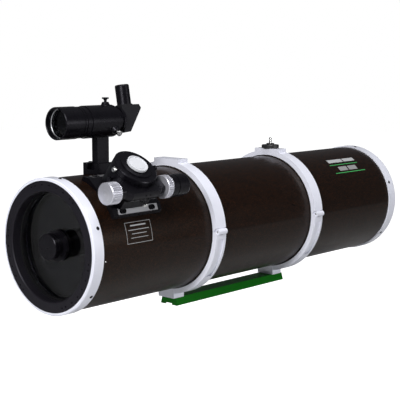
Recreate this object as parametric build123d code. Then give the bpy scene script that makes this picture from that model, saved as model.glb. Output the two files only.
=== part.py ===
from build123d import *
from math import cos, radians, sin, sqrt, tan
import os

# Newtonian reflector telescope lying level in two hinged tube rings on a dovetail bar.
# Millimetres. +Y runs along the tube from the sky end to the mirror end, +Z is up, and +X is the
# side that the focuser knobs face. The origin is the bottom centre of the dovetail bar.
# "Depth" is the distance back from the tube's front face. Angles round the tube are from +X to +Z.

# ---- main tube and its end rings ----
TUBE_OD = 229.0
TUBE_WALL = 1.5
TUBE_LENGTH = 908.0
TRIM_LIP = 2.5
FRONT_TRIM_WIDTH = 21.7
REAR_TRIM_WIDTH = 27.0
TRIM_FLANGE = 5.0
TRIM_SCREW_R = 2.0
TRIM_SCREWS = 6
SEAT = 0.05

# ---- front corrector cell ----
CELL_OPEN_R = 93.5
CELL_DEPTH = 40.0
CELL_LEDGE = 3.5
LENS_RIM_DEPTH = 22.0
LENS_THICKNESS = 12.0
LENS_SAG = 4.0
LENS_HOLE_R = 9.0
RETAINER_WIDTH = 3.0
RETAINER_THICKNESS = 5.0
VENT_PITCH_R = 105.0
VENT_R = 1.6
VENT_DEPTH = 3.0
VENT_GROUPS = (80.5, 200.5, 320.5)
VENT_STEPS = (-30.5, -25.0, -15.0, -5.0, 5.0, 15.0, 25.0, 30.5)

# ---- secondary mirror ----
BOSS_R = 22.5
BOSS_BASE_R = 26.5
SECONDARY_R = 24.0
SECONDARY_THICKNESS = 8.0
STEM_R = 6.0
STEM_GAP = 1.5

# ---- tube rings and dovetail bar ----
RING_RADIAL = 9.5
RING_WIDTH = 26.0
RING_SPACING = 300.0
FRONT_RING_DEPTH = 300.0
FELT_THICKNESS = 1.65
FELT_GAP = 0.35
SPLIT_Z = 4.0
HINGE_PIN_R = 2.0
HINGE_KNUCKLE_R = 5.5
HINGE_GAP = 0.5
TONGUE_WIDTH = 9.0
FORK_WIDTH = 6.0
LUG_REACH = 22.0
LUG_HEIGHT = 14.0
CLAMP_SCREW_R = 3.0
CLAMP_KNOB_R = 11.0
CLAMP_HOLE_GAP = 1.4
FOOT_WIDTH = 40.0
FOOT_LENGTH = 28.0
FOOT_DROP = 8.0
PAD_WIDTH = 62.0
PAD_RISE = 3.5
PAD_HOLE_SPACING = 35.0
PAD_HOLE_R = 2.5
STUD_R = 3.175
STUD_LENGTH = 24.0
NUT_R = 18.0
NUT_HEIGHT = 10.0
BAR_OVERHANG = 13.5
BAR_WIDTH = 42.0
BAR_HEIGHT = 15.0
BAR_FLANK = 15.0
BAR_SHIFT = 7.0
CHANNEL_WIDTH = 16.0
CHANNEL_DEPTH = 3.0
BAR_BOLT_R = 3.0
BAR_BOLT_SPACING = 16.0

# ---- focuser ----
FOCUSER_ANGLE = 51.0
FOCUSER_DEPTH = 102.0
BASE_AHEAD = 49.0
BASE_BEHIND = 63.0
BASE_WIDTH = 95.0
BASE_RISE = 4.5
BASE_EDGE = 8.0
LAND_WIDTH = 11.0
BASE_SCREW_SPACING = 67.0
BASE_SCREW_R = 2.5
RECESS_LENGTH = 15.0
RECESS_DEPTH = 3.0
BODY_WALL = 9.0
BODY_SIDE_WALL = 11.0
BODY_HEIGHT = 44.5
DRAWTUBE_R = 30.0
DRAWTUBE_LENGTH = 68.0
DRAWTUBE_GAP = 0.4
EYEPIECE_2IN_R = 25.45
COLLAR_HEIGHT = 10.5
COLLAR_SCREW_ANGLES = (176.0, 356.0)
ADAPTER_FLANGE_R = 25.0
ADAPTER_FLANGE = 2.0
EYEPIECE_125_R = 15.9
CAP_R = 18.4
CAP_HEIGHT = 4.0
SHAFT_R = 4.0
SHAFT_GAP = 0.06
DRIVE_GAP = 0.3
SHAFT_HEIGHT = 35.5
HOUSING_R = 18.0
HOUSING_NECK_R = 11.5
HOUSING_FRONT = 59.0
HOUSING_REAR = 43.0
HOUSING_BULGE = 35.0
FRONT_KNOB_R = 18.5
FRONT_KNOB_LENGTH = 22.0
REAR_KNOB_R = 20.0
REAR_KNOB_LENGTH = 13.0
FINE_KNOB_R = 19.5
FINE_KNOB_LENGTH = 42.5
KNOB_GAP = 1.5

# ---- finder ----
FINDER_RISE = 90.8
FINDER_R = 22.0
FINDER_WALL = 1.5
SHIELD_STEP = 5.8
SHIELD_FRONT = 24.0
SHIELD_LENGTH = 38.0
LOCK_RING_LENGTH = 20.0
BRACKET_ROOM = 3.2
BRACKET_WALL = 3.0
BRACKET_LENGTH = 64.5
STALK_WIDTH = 14.0
STALK_LENGTH = 27.0
SHOE_WIDTH = 40.0
SHOE_LENGTH = 46.0
SHOE_RISE = 19.5
SHOE_SLOT_DEPTH = 11.0
SHOE_GAP = 0.35
AIM_SCREW_R = 2.5
PRISM_WIDTH = 30.0
PRISM_LENGTH = 47.0
PRISM_ABOVE = 25.5
PRISM_BELOW = 22.5
PRISM_FOOT = 15.0
PRISM_ROLL = -10.0
PRISM_WALL = 4.0
FINDER_EYEPIECE_R = 12.6
FINDER_EYEPIECE_LENGTH = 35.0

# ---- primary mirror ----
MIRROR_R = 98.0
MIRROR_THICKNESS = 25.0
MIRROR_SAG = 2.4
MIRROR_CELL_R = 104.0
MIRROR_CELL_THICKNESS = 8.0
END_PLATE_THICKNESS = 5.0
END_PLATE_INSET = 23.0
SPRING_SPACE = 20.0
COLLIMATION_R = 80.0
COLLIMATION_SCREW_R = 3.0
COLLIMATION_KNOB_R = 10.0
COLLIMATION_ANGLES = (90.0, 210.0, 330.0)

# ---- places worked out from the sizes above ----
TUBE_R = TUBE_OD / 2
BORE_R = TUBE_R - TUBE_WALL
RING_IN_R = TUBE_R + FELT_GAP + FELT_THICKNESS
RING_R = RING_IN_R + RING_RADIAL
AXIS_Z = BAR_HEIGHT + FOOT_DROP + RING_R
FRONT_Y = -(FRONT_RING_DEPTH + RING_SPACING / 2 + BAR_SHIFT)
RING_DEPTHS = {"front": FRONT_RING_DEPTH, "rear": FRONT_RING_DEPTH + RING_SPACING}
HINGE_X = RING_R
BAR_LENGTH = RING_SPACING + BAR_OVERHANG * 2
CLAMP_X = -(RING_R + LUG_REACH / 2)
FINDER_Z = AXIS_Z + TUBE_R + FINDER_RISE


def along(depth, x=0.0, z=None):
    """Place with local +Z pointing back along the tube, at a depth from the front face."""
    height = AXIS_Z if z is None else z
    return Plane(origin=(x, FRONT_Y + depth, height), x_dir=(1, 0, 0), z_dir=(0, 1, 0)).location


def radial(angle, depth, distance, centre_z=None):
    """Place with local +Z pointing out from an axis along Y, and local +X pointing back along it."""
    height = AXIS_Z if centre_z is None else centre_z
    out = (cos(radians(angle)), 0, sin(radians(angle)))
    origin = (distance * out[0], FRONT_Y + depth, height + distance * out[2])
    return Plane(origin=origin, x_dir=(0, 1, 0), z_dir=out).location


def rod(radius, height, base=0.0):
    """Solid cylinder about local Z from base upwards."""
    return Pos(0, 0, base) * extrude(Circle(radius), amount=height)


def pipe(outer, inner, height, base=0.0):
    """Hollow cylinder about local Z from base upwards."""
    return Pos(0, 0, base) * extrude(Circle(outer) - Circle(inner), amount=height)


def turned(corners):
    """Solid of revolution about local Z from (radius, height) corners."""
    outline = Polyline([(r, 0, h) for r, h in corners], close=True)
    return revolve(make_face(outline), Axis.Z)


def block(x_range, y_range, z_range):
    """Box between two corners in the local frame."""
    size = [high - low for low, high in (x_range, y_range, z_range)]
    middle = [(high + low) / 2 for low, high in (x_range, y_range, z_range)]
    return Pos(*middle) * Box(*size)


def world_block(x_range, depths, z_range):
    """Box in the object's frame, with the Y range given as depths."""
    return block(x_range, (FRONT_Y + depths[0], FRONT_Y + depths[1]), z_range)


def sector_screws(screw, angles, pitch_r, place):
    """Copies of one screw at angles on a pitch circle, as separate solids."""
    spots = [(pitch_r * cos(radians(a)), -pitch_r * sin(radians(a))) for a in angles]
    return [place * Pos(x, y, 0) * screw for x, y in spots]


def fluted(radius, length, flutes, flute_r):
    """Knob about local Z with straight grooves round its rim and a chamfered edge at both ends.

    With only a few grooves they run the whole length, which leaves lobes.
    """
    edge = min(1.0, length * 0.12)
    margin = edge * 2 if flutes > 6 else -edge
    knob = turned([(0, 0), (radius - edge, 0), (radius, edge), (radius, length - edge),
                   (radius - edge, length), (0, length)])
    cuts = [Rot(0, 0, 360 * i / flutes) * Pos(radius + flute_r * 0.6, 0, 0)
            * rod(flute_r, length - margin * 2, margin) for i in range(flutes)]
    return knob - cuts


def thumbscrew(shank_r, shank_length, head_r, head_length, flutes=12):
    """Screw along local Z: its tip is at zero and its head, on a collar, is outermost."""
    collar = head_length * 0.4
    flute_r = head_r * (0.14 if flutes > 6 else 0.5)
    head = fluted(head_r, head_length - collar, flutes, flute_r)
    neck = rod(max(shank_r * 1.35, head_r * 0.45), collar + 0.5, shank_length)
    return rod(shank_r, shank_length + 0.5) + neck + Pos(0, 0, shank_length + collar) * head


def save(name, *solids):
    """Write one node. Several solids stay separate pieces of the same node."""
    flat = []
    for item in solids:
        flat.extend(item if isinstance(item, (list, tuple)) else [item])
    pieces = [piece for item in flat for piece in item.solids()]
    shape = pieces[0] if len(pieces) == 1 else Compound(children=pieces)
    shape.label = name
    export_step(shape, f"parts/{name}.step")
    print(f"{name}: {len(pieces)} solid(s), {sum(p.volume for p in pieces) / 1000:.1f} cm3")


# ---------------------------------------------------------------- tube and front end
def focuser_place(height=0.0):
    """Focuser frame: local +Z out along the drawtube, local +X back along the tube."""
    return radial(FOCUSER_ANGLE, FOCUSER_DEPTH, height)


def make_tube():
    front = TRIM_FLANGE
    rear = TUBE_LENGTH - TRIM_FLANGE
    tube = along(front) * pipe(TUBE_R, BORE_R, rear - front)
    tube -= focuser_place(TUBE_R - 20) * rod(DRAWTUBE_R + 3, 40)
    save("main_tube", tube)


def trim_screw():
    """Button-headed screw through a trim ring, stopping just above the tube's skin."""
    head_r = TRIM_SCREW_R * 1.6
    head = turned([(0, 0.1), (head_r, 0.1), (head_r * 0.7, 1.1), (0, 1.3)])
    return head + rod(TRIM_SCREW_R, TRIM_LIP - 0.1, 0.2 - TRIM_LIP)


def trim_screw_places(depth):
    angles = [360 / TRIM_SCREWS * i + 21 for i in range(TRIM_SCREWS)]
    return [radial(angle, depth, TUBE_R + TRIM_LIP) for angle in angles]


def make_end_rings():
    lip = TUBE_R + TRIM_LIP
    over = TUBE_R + SEAT
    face_r = BORE_R - 1.2
    front = turned([(face_r, 0), (lip - 1.5, 0), (lip, 1.5), (lip, FRONT_TRIM_WIDTH),
                    (over, FRONT_TRIM_WIDTH), (over, TRIM_FLANGE), (face_r, TRIM_FLANGE)])
    front_screw_depth = FRONT_TRIM_WIDTH - 6
    rear_screw_depth = TUBE_LENGTH - REAR_TRIM_WIDTH + 8
    rear_face = REAR_TRIM_WIDTH
    rear_in = BORE_R - 5
    rear = turned([(over, 0), (lip, 0), (lip, rear_face - 5), (lip - 1.2, rear_face - 1.8),
                   (lip - 3.6, rear_face), (rear_in, rear_face), (rear_in, rear_face - TRIM_FLANGE),
                   (over, rear_face - TRIM_FLANGE)])
    screw_hole = Pos(0, 0, -8) * rod(TRIM_SCREW_R + SEAT, 16)
    front_ring = along(0) * front
    front_ring -= [place * screw_hole for place in trim_screw_places(front_screw_depth)]
    rear_ring = along(TUBE_LENGTH - REAR_TRIM_WIDTH) * rear
    rear_ring -= [place * screw_hole for place in trim_screw_places(rear_screw_depth)]
    save("front_trim_ring", front_ring)
    save("rear_trim_ring", rear_ring)
    places = trim_screw_places(front_screw_depth) + trim_screw_places(rear_screw_depth)
    save("trim_ring_screws", [place * trim_screw() for place in places])


def make_corrector():
    outer = BORE_R - 1.3
    seat_r = BORE_R - SEAT
    ledge = CELL_OPEN_R - CELL_LEDGE
    back = LENS_RIM_DEPTH + LENS_THICKNESS
    shelf = back + LENS_SAG * 0.08
    cell = turned([(CELL_OPEN_R + 1.5, 0), (outer, 0), (outer, TRIM_FLANGE), (seat_r, TRIM_FLANGE),
                   (seat_r, CELL_DEPTH), (ledge, CELL_DEPTH), (ledge, shelf), (CELL_OPEN_R, shelf),
                   (CELL_OPEN_R, 1.5)])
    vent = rod(VENT_R, VENT_DEPTH)
    angles = [group + step for group in VENT_GROUPS for step in VENT_STEPS]
    cell = along(0) * cell
    cell -= sector_screws(vent, angles, VENT_PITCH_R, along(0))
    save("corrector_cell", cell)

    lens_r = CELL_OPEN_R - SEAT
    retainer = turned([(lens_r - RETAINER_WIDTH, LENS_RIM_DEPTH - RETAINER_THICKNESS),
                       (lens_r, LENS_RIM_DEPTH - RETAINER_THICKNESS), (lens_r, LENS_RIM_DEPTH),
                       (lens_r - RETAINER_WIDTH, LENS_RIM_DEPTH)])
    slot = block((lens_r - RETAINER_WIDTH - 1, lens_r + 1), (-2, 2),
                 (LENS_RIM_DEPTH - RETAINER_THICKNESS - 1, LENS_RIM_DEPTH - RETAINER_THICKNESS + 1.5))
    retainer -= [Rot(0, 0, angle) * slot for angle in (35, 215)]
    save("corrector_retaining_ring", along(0) * retainer)

    middle_r = (lens_r + LENS_HOLE_R) / 2
    inner_front = LENS_RIM_DEPTH + LENS_SAG
    inner_back = back + LENS_SAG - 0.5
    front_arc = ThreePointArc((LENS_HOLE_R, 0, inner_front),
                              (middle_r, 0, LENS_RIM_DEPTH + LENS_SAG * 0.74), (lens_r, 0, LENS_RIM_DEPTH))
    back_arc = ThreePointArc((lens_r, 0, back), (middle_r, 0, back + (LENS_SAG - 0.5) * 0.74),
                             (LENS_HOLE_R, 0, inner_back))
    rim = Line((lens_r, 0, LENS_RIM_DEPTH), (lens_r, 0, back))
    hole = Line((LENS_HOLE_R, 0, inner_back), (LENS_HOLE_R, 0, inner_front))
    lens = revolve(make_face([front_arc, rim, back_arc, hole]), Axis.Z)
    save("corrector_lens", along(0) * lens)

    base = LENS_RIM_DEPTH + LENS_SAG
    boss = turned([(0, 0), (BOSS_R - 0.8, 0), (BOSS_R, 0.8), (BOSS_R, 6), (BOSS_R - 1.2, 6),
                   (BOSS_R - 1.2, 8), (BOSS_R, 8), (BOSS_R, 11), (BOSS_R - 3, 11),
                   (BOSS_R - 3, base - 6), (BOSS_BASE_R, base - 6), (BOSS_BASE_R, base - 0.6),
                   (LENS_HOLE_R - SEAT, base - 0.6), (LENS_HOLE_R - SEAT, base + 10),
                   (STEM_R + 1, base + 10), (STEM_R + 1, base - 10), (0, base - 10)])
    save("secondary_boss", along(0) * boss)


def make_secondary():
    """Mirror at 45 degrees on the tube axis, level with the focuser, turned to face it."""
    base = LENS_RIM_DEPTH + LENS_SAG
    plate_front = LENS_RIM_DEPTH + LENS_THICKNESS + LENS_SAG + STEM_GAP
    out = (cos(radians(FOCUSER_ANGLE)), 0, sin(radians(FOCUSER_ANGLE)))
    centre = (0, FRONT_Y + FOCUSER_DEPTH, AXIS_Z)
    face = Plane(origin=centre, x_dir=(-out[2], 0, out[0]), z_dir=(out[0], 1, out[2])).location
    half = SECONDARY_R * 3
    slab = face * block((-half, half), (-half, half), (-SECONDARY_THICKNESS, 0))
    behind = face * block((-half, half), (-half, half), (-half * 2, -SECONDARY_THICKNESS - SEAT))
    column = along(plate_front - 5) * rod(SECONDARY_R, FOCUSER_DEPTH - plate_front + half)
    save("secondary_mirror", slab & column)
    shell = along(plate_front) * pipe(SECONDARY_R, SECONDARY_R - 3, FOCUSER_DEPTH - plate_front + half)
    top = along(plate_front) * rod(SECONDARY_R, 6)
    stem_front = base - 8
    stem = along(stem_front) * rod(STEM_R, plate_front - stem_front + 1)
    holder = (shell & behind) + top + stem
    save("secondary_holder", holder)


# ---------------------------------------------------------------- tube rings and bar
def half_ring(depth, outer, inner, upper):
    """Half of a ring round the tube, above or below the level of the hinge."""
    ring = along(depth - RING_WIDTH / 2) * pipe(outer, inner, RING_WIDTH)
    split = AXIS_Z + SPLIT_Z
    reach = RING_R * 2
    keep = (split + 0.2, split + reach) if upper else (split - reach * 2, split - 0.2)
    return ring & world_block((-reach, reach), (depth - reach, depth + reach), keep)


def hinge_rod(radius, depth, width):
    return along(depth - width / 2, HINGE_X, AXIS_Z + SPLIT_Z) * rod(radius, width)


def clamp_lug(depth, upper):
    """Lug on the far side of a ring half, with the hole for the clamp screw."""
    split = AXIS_Z + SPLIT_Z
    span = (split + 0.2, split + LUG_HEIGHT) if upper else (split - LUG_HEIGHT, split - 0.2)
    half = RING_WIDTH / 2 - 3
    lug = world_block((-(RING_R + LUG_REACH), -(RING_R - 5)), (depth - half, depth + half), span)
    gap = CLAMP_HOLE_GAP if not upper else SEAT
    hole = Pos(CLAMP_X, FRONT_Y + depth, span[0] - 1) * rod(CLAMP_SCREW_R + gap, LUG_HEIGHT + 2)
    return lug, hole


def make_ring(name, depth):
    split = AXIS_Z + SPLIT_Z
    lower = half_ring(depth, RING_R, RING_IN_R, False)
    upper = half_ring(depth, RING_R, RING_IN_R, True)
    tongue_room = TONGUE_WIDTH + HINGE_GAP * 2
    knuckle_room = HINGE_KNUCKLE_R + HINGE_GAP + 0.3
    fork = FORK_WIDTH * 2 + tongue_room

    # Hinge: a fork on the lower half, a tongue on the upper half, and clearance between them.
    tongue_slot = hinge_rod(knuckle_room, depth, tongue_room)
    fork_slot = hinge_rod(knuckle_room, depth, RING_WIDTH + 2)
    lower -= tongue_slot
    lower += hinge_rod(HINGE_KNUCKLE_R, depth, fork) - tongue_slot
    tongue_web = upper & hinge_rod(knuckle_room + 1, depth, TONGUE_WIDTH)
    upper -= fork_slot
    upper += tongue_web + hinge_rod(HINGE_KNUCKLE_R, depth, TONGUE_WIDTH)
    lower -= hinge_rod(HINGE_PIN_R, depth, RING_WIDTH + 2)
    upper -= hinge_rod(HINGE_PIN_R + SHAFT_GAP, depth, RING_WIDTH + 2)

    # Clamp lugs on the far side.
    low_lug, low_hole = clamp_lug(depth, False)
    high_lug, high_hole = clamp_lug(depth, True)
    bore = along(depth - RING_WIDTH) * rod(RING_IN_R, RING_WIDTH * 2)
    lower = lower + (low_lug - bore) - low_hole
    upper = upper + (high_lug - bore) - high_hole

    # Foot under the lower half and platform on the upper half.
    half_foot = FOOT_WIDTH / 2
    foot_depths = (depth - FOOT_LENGTH / 2, depth + FOOT_LENGTH / 2)
    foot = world_block((-half_foot, half_foot), foot_depths, (BAR_HEIGHT, AXIS_Z - RING_IN_R))
    lower += foot - along(depth - RING_WIDTH) * rod(RING_IN_R + 0.5, RING_WIDTH * 2)
    half_pad = PAD_WIDTH / 2
    pad_z = AXIS_Z + RING_R + PAD_RISE
    pad = world_block((-half_pad, half_pad), (depth - RING_WIDTH / 2, depth + RING_WIDTH / 2),
                      (AXIS_Z + RING_R - 9, pad_z))
    upper += pad - along(depth - RING_WIDTH) * rod(RING_IN_R + 0.5, RING_WIDTH * 2)

    # Long shallow pocket cast into the outside of each half.
    pocket_ring = along(depth - 7) * pipe(RING_R + 1, RING_R - 2.5, 14)
    low_span = world_block((60, RING_R + 5), (depth - 20, depth + 20), (split - 86, split - 15))
    lower -= pocket_ring & low_span
    far_span = world_block((-RING_R - 5, -60), (depth - 20, depth + 20), (split - 86, split - 24))
    lower -= pocket_ring & far_span

    # Bolts come up through the bar into the foot.
    for side in (-1, 1):
        place = Pos(0, FRONT_Y + depth + BAR_SHIFT / 2 + side * BAR_BOLT_SPACING / 4, 0)
        lower -= place * Pos(side * BAR_BOLT_SPACING / 2, 0, 0) * rod(BAR_BOLT_R + SEAT, BAR_HEIGHT + 7)
    if name == "front":
        spots = [(side * PAD_HOLE_SPACING / 2, FRONT_Y + depth) for side in (-1, 1)]
        upper -= [Pos(x, y, pad_z - 8) * rod(PAD_HOLE_R, 9) for x, y in spots]
    else:
        upper -= Pos(0, FRONT_Y + depth, pad_z - 8) * rod(STUD_R + SEAT, 9)
    save(f"{name}_ring_lower", lower)
    save(f"{name}_ring_upper", upper)

    felt_r = RING_IN_R - 0.02
    felt_in = felt_r - FELT_THICKNESS + 0.04
    save(f"{name}_upper_felt", half_ring(depth, felt_r, felt_in, True))
    return half_ring(depth, felt_r, felt_in, False)


def make_rings():
    felts = [make_ring(name, depth) for name, depth in RING_DEPTHS.items()]
    save("lower_felt_liners", felts)
    pin_width = TONGUE_WIDTH + HINGE_GAP * 2 + FORK_WIDTH * 2
    save("ring_hinge_pins", [hinge_rod(HINGE_PIN_R - 0.01, d, pin_width) for d in RING_DEPTHS.values()])
    seat = AXIS_Z + SPLIT_Z + LUG_HEIGHT
    for name, depth in RING_DEPTHS.items():
        shank = LUG_HEIGHT + 12
        knob = thumbscrew(CLAMP_SCREW_R, shank, CLAMP_KNOB_R, 14)
        collar = Pos(0, 0, shank - 4) * rod(CLAMP_SCREW_R + 3.5, 5)
        place = Pos(CLAMP_X, FRONT_Y + depth, seat + 4.3 - shank)
        save(f"{name}_ring_clamp_knob", place * (knob + collar))

    depth = RING_DEPTHS["rear"]
    pad_z = AXIS_Z + RING_R + PAD_RISE
    foot = Pos(0, FRONT_Y + depth, pad_z - 7.9)
    stud = turned([(0, 0), (STUD_R, 0), (STUD_R, STUD_LENGTH + 7), (STUD_R - 1, STUD_LENGTH + 8),
                   (0, STUD_LENGTH + 8)])
    save("piggyback_stud", foot * stud)
    nut = fluted(NUT_R, NUT_HEIGHT - 3, 24, 0.8) + rod(NUT_R * 0.45, NUT_HEIGHT)
    nut -= Pos(0, 0, -1) * rod(STUD_R + SHAFT_GAP, NUT_HEIGHT + 2)
    save("piggyback_nut", Pos(0, FRONT_Y + depth, pad_z + 0.4) * nut)


def make_bar():
    half = BAR_WIDTH / 2
    top = half - BAR_HEIGHT * tan(radians(BAR_FLANK))
    half_channel = CHANNEL_WIDTH / 2
    outline = Polyline([(-half, 0), (-half_channel, 0), (-half_channel, CHANNEL_DEPTH),
                        (half_channel, CHANNEL_DEPTH), (half_channel, 0), (half, 0), (half, 1.5),
                        (top, BAR_HEIGHT), (-top, BAR_HEIGHT), (-half, 1.5)], close=True)
    front = Plane(origin=(0, -BAR_LENGTH / 2, 0), x_dir=(1, 0, 0), z_dir=(0, -1, 0)).location
    bar = front * extrude(make_face(outline), amount=-BAR_LENGTH)
    head_r = BAR_BOLT_R * 1.7
    bolts = []
    for depth in RING_DEPTHS.values():
        for side in (-1, 1):
            y = FRONT_Y + depth + BAR_SHIFT / 2 + side * BAR_BOLT_SPACING / 4
            place = Pos(side * BAR_BOLT_SPACING / 2, y, 0)
            bar -= place * Pos(0, 0, -1) * rod(BAR_BOLT_R + 0.2, BAR_HEIGHT + 2)
            bar -= place * Pos(0, 0, -1) * rod(head_r + 0.3, CHANNEL_DEPTH + 7)
            head = Pos(0, 0, CHANNEL_DEPTH) * (rod(head_r, 6) - rod(BAR_BOLT_R * 0.8, 3, -0.5))
            bolts.append(place * (head + rod(BAR_BOLT_R, BAR_HEIGHT + 1, CHANNEL_DEPTH + 2)))
    save("dovetail_bar", bar)
    save("dovetail_bolts", bolts)


# ---------------------------------------------------------------- focuser
BODY_R = DRAWTUBE_R + BODY_WALL
BODY_SIDE = DRAWTUBE_R + BODY_SIDE_WALL
BASE_TOP = TUBE_R + BASE_RISE
BODY_TOP = BASE_TOP + BODY_HEIGHT
COLLAR_TOP = BODY_TOP + 0.5 + COLLAR_HEIGHT
SHAFT_Y = -(DRAWTUBE_R + SHAFT_R + DRIVE_GAP)
SHAFT_Z = BASE_TOP + SHAFT_HEIGHT
TENSION_X = 8.0
TENSION_Z = BASE_TOP + 13


def shaft_rod(radius, start, length):
    """Cylinder about the focusing shaft, in the focuser frame, from a distance along the tube."""
    axis = Plane(origin=(start, SHAFT_Y, SHAFT_Z), x_dir=(0, 1, 0), z_dir=(1, 0, 0)).location
    return axis * rod(radius, length)


def make_focuser_base():
    """Saddle on the tube with a sloping land down each side, where its four screws sit."""
    half = BASE_WIDTH / 2
    edge_z = sqrt(TUBE_R ** 2 - half ** 2) + BASE_EDGE
    drop = BASE_TOP - edge_z
    bottom = TUBE_R * 0.6
    outline = Polyline([(-half, bottom), (half, bottom), (half, edge_z), (half - LAND_WIDTH, BASE_TOP),
                        (LAND_WIDTH - half, BASE_TOP), (-half, edge_z)], close=True)
    lengthwise = Plane(origin=(-BASE_AHEAD, 0, 0), x_dir=(0, 1, 0), z_dir=(1, 0, 0)).location
    base = lengthwise * extrude(make_face(outline), amount=BASE_AHEAD + BASE_BEHIND)
    base -= lengthwise * rod(TUBE_R + SEAT, (BASE_AHEAD + BASE_BEHIND) * 2, -BASE_AHEAD)
    base -= rod(DRAWTUBE_R + 3, TUBE_R * 2)
    middle = (BASE_BEHIND - BASE_AHEAD) / 2
    head_r = BASE_SCREW_R * 1.6
    slot = Pos(0, 0, -RECESS_DEPTH) * extrude(SlotOverall(RECESS_LENGTH, head_r * 2 + 0.6), amount=10)
    hole = rod(BASE_SCREW_R + 0.2, 40, -30)
    screw = rod(head_r, RECESS_DEPTH - 0.2, -RECESS_DEPTH) - rod(BASE_SCREW_R * 0.8, 3, 1.2 - RECESS_DEPTH)
    screw += rod(BASE_SCREW_R, 3.8, -RECESS_DEPTH - 3.3)
    screws = []
    for side in (-1, 1):
        for step in (-1, 1):
            x = middle + step * BASE_SCREW_SPACING / 2
            y = side * (half - LAND_WIDTH / 2)
            lean = (0, side * drop, LAND_WIDTH)
            spot = Plane(origin=(x, y, BASE_TOP - drop / 2), x_dir=(1, 0, 0), z_dir=lean).location
            base -= spot * slot
            base -= spot * hole
            screws.append(focuser_place() * spot * screw)
    save("focuser_base", focuser_place() * base)
    save("focuser_base_screws", screws)


def make_focuser_body():
    place = focuser_place()
    body = rod(BODY_R, BODY_HEIGHT, BASE_TOP)
    taper = HOUSING_BULGE + 8
    shell = turned([(0, -HOUSING_FRONT), (HOUSING_NECK_R, -HOUSING_FRONT), (HOUSING_NECK_R + 1, -taper - 4),
                    (HOUSING_R, -HOUSING_BULGE), (HOUSING_R, HOUSING_BULGE - 9),
                    (HOUSING_NECK_R, HOUSING_BULGE), (HOUSING_NECK_R, HOUSING_REAR), (0, HOUSING_REAR)])
    body += Plane(origin=(0, SHAFT_Y, SHAFT_Z), x_dir=(0, 1, 0), z_dir=(1, 0, 0)).location * shell
    body += block((-HOUSING_BULGE, HOUSING_BULGE - 9), (-BODY_SIDE, 0), (BASE_TOP, SHAFT_Z))
    body &= block((-BASE_WIDTH, BASE_WIDTH), (-BASE_WIDTH, BASE_WIDTH), (BASE_TOP, BODY_TOP))
    body -= rod(DRAWTUBE_R + DRAWTUBE_GAP, BODY_HEIGHT + 2, BASE_TOP - 1)
    body -= shaft_rod(SHAFT_R + SHAFT_GAP, -HOUSING_FRONT - 5, HOUSING_FRONT + HOUSING_REAR + 10)
    outside = SHAFT_Y - HOUSING_R
    dots = [(x, z) for x in (-6, 4) for z in (SHAFT_Z - 5, SHAFT_Z + 3)]
    side = [Plane(origin=(x, outside - 1, z), x_dir=(1, 0, 0), z_dir=(0, 1, 0)).location for x, z in dots]
    body -= [spot * rod(1.4, 3) for spot in side]
    tapped = Plane(origin=(TENSION_X, -BODY_SIDE - 1, TENSION_Z), x_dir=(1, 0, 0), z_dir=(0, 1, 0))
    body -= tapped.location * rod(2.0 + SHAFT_GAP, 8)
    lock_spot = Plane(origin=(-BODY_R - 1, 0, SHAFT_Z - 3), x_dir=(0, 1, 0), z_dir=(1, 0, 0)).location
    body -= lock_spot * rod(2.0 + SHAFT_GAP, BODY_R)
    save("focuser_body", place * body)

    screw = thumbscrew(2.0, 10, 4.2, 6, flutes=3)
    tension = Plane(origin=(TENSION_X, 5 - BODY_SIDE, TENSION_Z), x_dir=(1, 0, 0), z_dir=(0, -1, 0)).location
    save("tension_thumbscrew", place * tension * screw)
    lock = Plane(origin=(-DRAWTUBE_R - 1.2, 0, SHAFT_Z - 3), x_dir=(0, 1, 0), z_dir=(-1, 0, 0)).location
    save("lock_thumbscrew", place * lock * thumbscrew(2.0, 12, 4.2, 6, flutes=3))


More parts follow.
